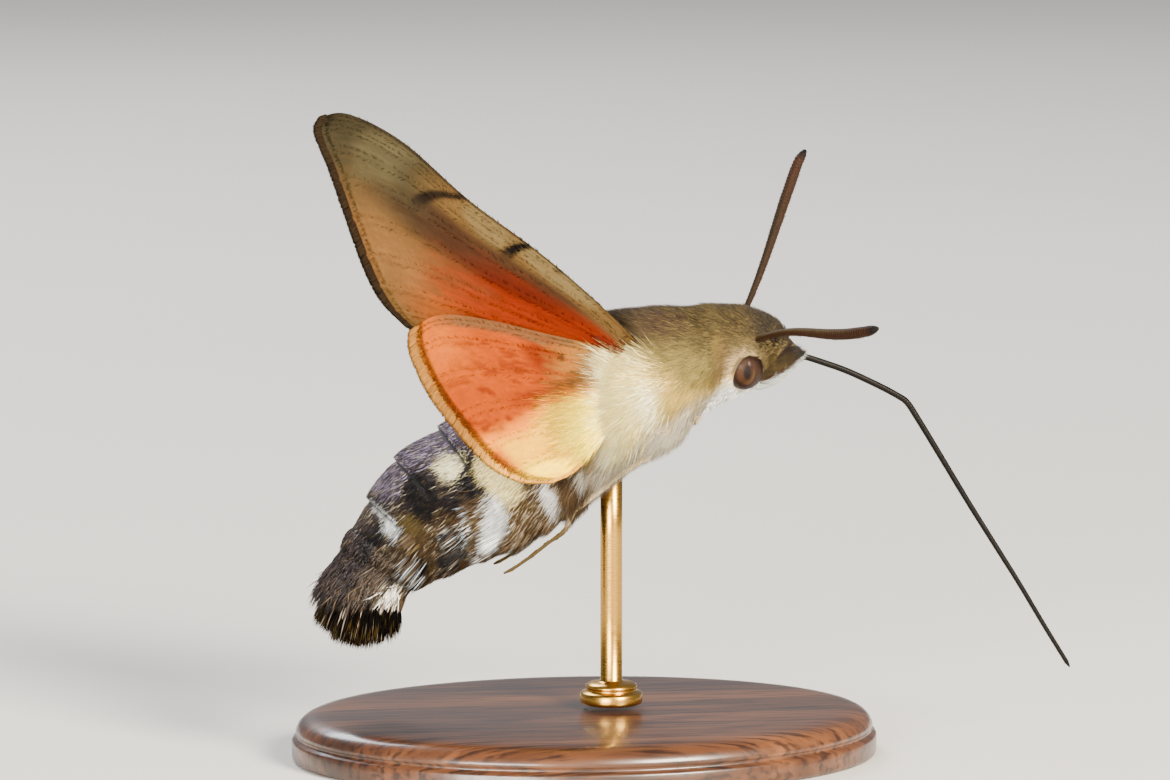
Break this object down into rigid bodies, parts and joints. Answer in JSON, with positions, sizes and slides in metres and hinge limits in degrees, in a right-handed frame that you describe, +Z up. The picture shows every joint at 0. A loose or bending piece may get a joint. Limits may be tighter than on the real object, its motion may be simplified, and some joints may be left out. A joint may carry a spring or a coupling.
{
  "type": "hummingbird hawk moth",
  "caption": "Still life-size hawk moth with raised wings, clubbed feelers, long tongue and tail fan, held in a hovering pose on a small oval display stand.",
  "frame": {"origin": "centre of the underside of the stand's base, on the surface it rests on", "axes": "+Z up; +X the way the moth faces; +Y the moth's left side"},
  "size_m": [0.0433, 0.025, 0.0354],
  "materials": {
    "head_fur": "short olive-brown fur",
    "eye": "glossy brown facets",
    "palp_scales": "smooth olive scales, white below",
    "antenna": "dark brown, finely ringed",
    "proboscis": "glossy black",
    "thorax_fur": "dense fur, olive above, cream below",
    "abdomen_scales": "dark scales with white and yellow side tufts",
    "tail_scales": "black-brown brush of long scales",
    "forewing": "scaled membrane, grey-brown to orange-red",
    "hindwing": "scaled orange membrane with yellow base",
    "leg": "pale brown scales",
    "stand_wood": "dark satin varnish",
    "stand_brass": "satin"
  },
  "bodies": {
    "root": {"head": "head_fur", "eye_left": "eye", "eye_right": "eye", "palp_left": "palp_scales", "palp_right": "palp_scales", "antenna_left": "antenna", "antenna_right": "antenna", "proboscis_upper": "proboscis", "proboscis_lower": "proboscis", "thorax": "thorax_fur", "abdomen": "abdomen_scales", "tail_fan": "tail_scales", "forewing_left": "forewing", "forewing_right": "forewing", "hindwing_left": "hindwing", "hindwing_right": "hindwing", "leg_fore_left": "leg", "leg_fore_right": "leg", "leg_mid_left": "leg", "leg_mid_right": "leg", "leg_hind_left": "leg", "leg_hind_right": "leg", "stand_base": "stand_wood", "stand_rod": "stand_brass"}
  },
  "joints": []
}
